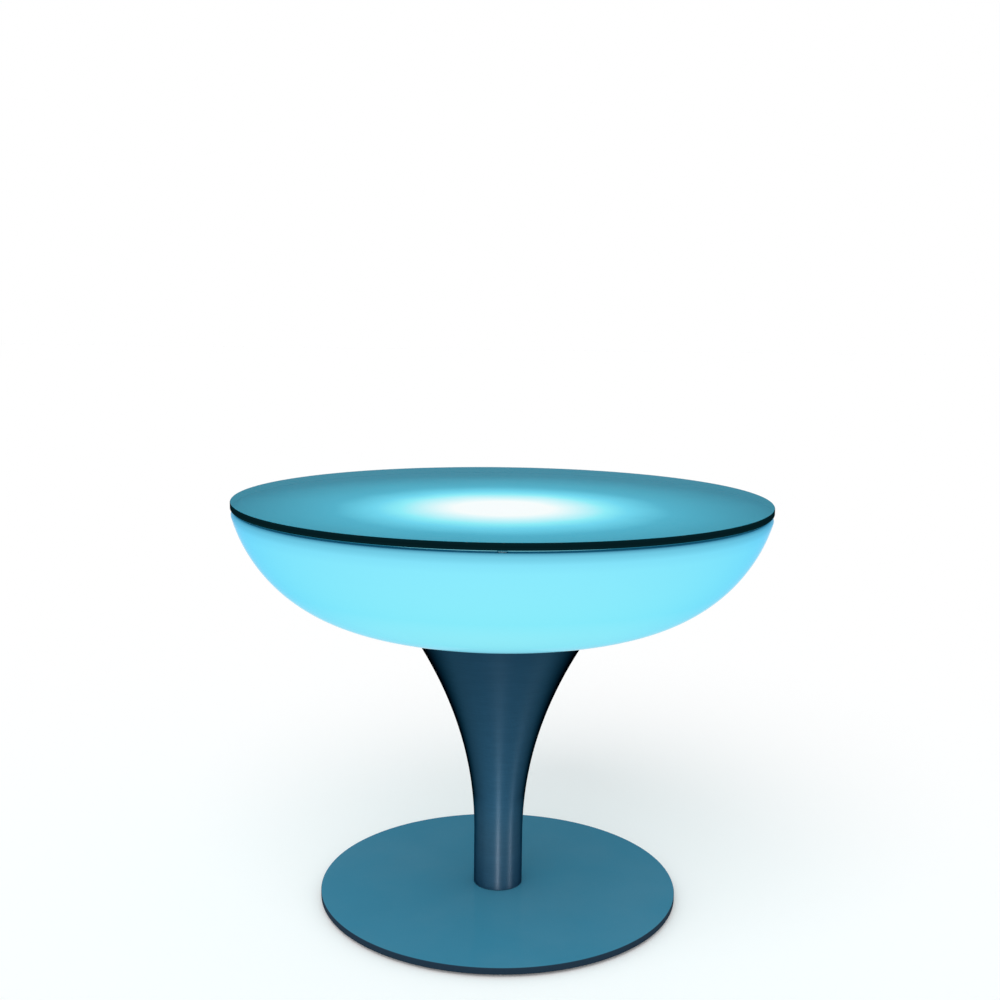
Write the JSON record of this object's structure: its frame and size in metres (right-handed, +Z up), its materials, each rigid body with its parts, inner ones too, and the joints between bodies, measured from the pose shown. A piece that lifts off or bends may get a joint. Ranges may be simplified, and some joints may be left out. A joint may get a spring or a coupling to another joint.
{
  "type": "light-up led side table",
  "caption": "Round light-up side table: lit translucent bowl on a flared steel column and flat round base, with a lift-off glass top.",
  "frame": {"origin": "on the floor under the middle of the table, level with the underside of its pads", "axes": "+Z up along the column; -Y is the side the picture shows; the light's button and charging socket are on the +X side"},
  "size_m": [0.6, 0.6, 0.465],
  "materials": {
    "glass": "polished, with a satin underside",
    "silicone": "clear silicone",
    "lit_plastic": "translucent, lit from inside",
    "spun_steel": "brushed upright",
    "plain_steel": "mill finish",
    "zinc": "zinc plated",
    "base_coating": "gloss",
    "rubber": "matt",
    "white_plastic": "moulded",
    "opal": "opal, lit from inside",
    "board_green": "solder mask",
    "board_white": "solder mask",
    "emitter": "LED package",
    "cell_wrap": "shrink wrap",
    "black_plastic": "moulded",
    "button_grey": "moulded",
    "red_lead": "wire insulation",
    "black_lead": "wire insulation",
    "white_lead": "wire insulation",
    "dark_lens": "dark infra-red lens",
    "clear_plastic": "clear"
  },
  "bodies": {
    "table": {"base_plate": "base_coating", "base_pad_1": "rubber", "base_pad_2": "rubber", "base_pad_3": "rubber", "base_pad_4": "rubber", "foot_screw_1": "zinc", "foot_screw_2": "zinc", "foot_screw_3": "zinc", "column_shell": "spun_steel", "column_foot_plug": "plain_steel", "column_flange": "plain_steel", "bowl_shell": "lit_plastic", "clamp_plate": "plain_steel", "bowl_bolt_1": "zinc", "bowl_bolt_2": "zinc", "bowl_bolt_3": "zinc", "bowl_bolt_4": "zinc", "glass_bumper_1": "silicone", "glass_bumper_2": "silicone", "glass_bumper_3": "silicone", "glass_bumper_4": "silicone", "glass_bumper_5": "silicone", "glass_bumper_6": "silicone", "module_tray": "white_plastic", "module_seal": "rubber", "module_cover": "white_plastic", "module_screw_1": "zinc", "module_screw_2": "zinc", "module_screw_3": "zinc", "cover_screw_1": "zinc", "cover_screw_2": "zinc", "cover_screw_3": "zinc", "diffuser_dome": "opal", "led_board": "board_white", "led_1": "emitter", "led_2": "emitter", "led_3": "emitter", "led_4": "emitter", "led_5": "emitter", "led_6": "emitter", "led_7": "emitter", "led_8": "emitter", "led_lead": "white_lead", "battery_holder": "black_plastic", "battery_cell_1": "cell_wrap", "battery_cell_2": "cell_wrap", "battery_cell_3": "cell_wrap", "battery_lead_red": "red_lead", "battery_lead_black": "black_lead", "control_board": "board_green", "button_switch": "black_plastic", "dc_socket": "black_plastic", "ir_receiver": "dark_lens", "charge_light_pipe": "clear_plastic", "button_spring": "zinc", "cap_anchor": "rubber"},
    "glass": {"glass_top": "glass"},
    "button": {"power_button": "button_grey"},
    "cap": {"socket_cap": "rubber"}
  },
  "joints": [
    {"name": "glass_lift", "type": "slide", "parent": "table", "child": "glass", "axis": [0, 0, 1], "range_m": [0, 0.15]},
    {"name": "power_button_press", "type": "slide", "parent": "table", "child": "button", "axis": [0, 0, -1], "range_m": [0, 0.0012], "stiffness_N_per_m": 300, "springref_m": -0.001, "deforming": ["button_spring"]},
    {"name": "socket_cap_swing", "type": "hinge", "parent": "table", "child": "cap", "pos_m": [0.0672, 0, 0.3479], "axis": [0, -1, 0], "range_deg": [0, 100], "stiffness_Nm_per_rad": 0.0005}
  ]
}
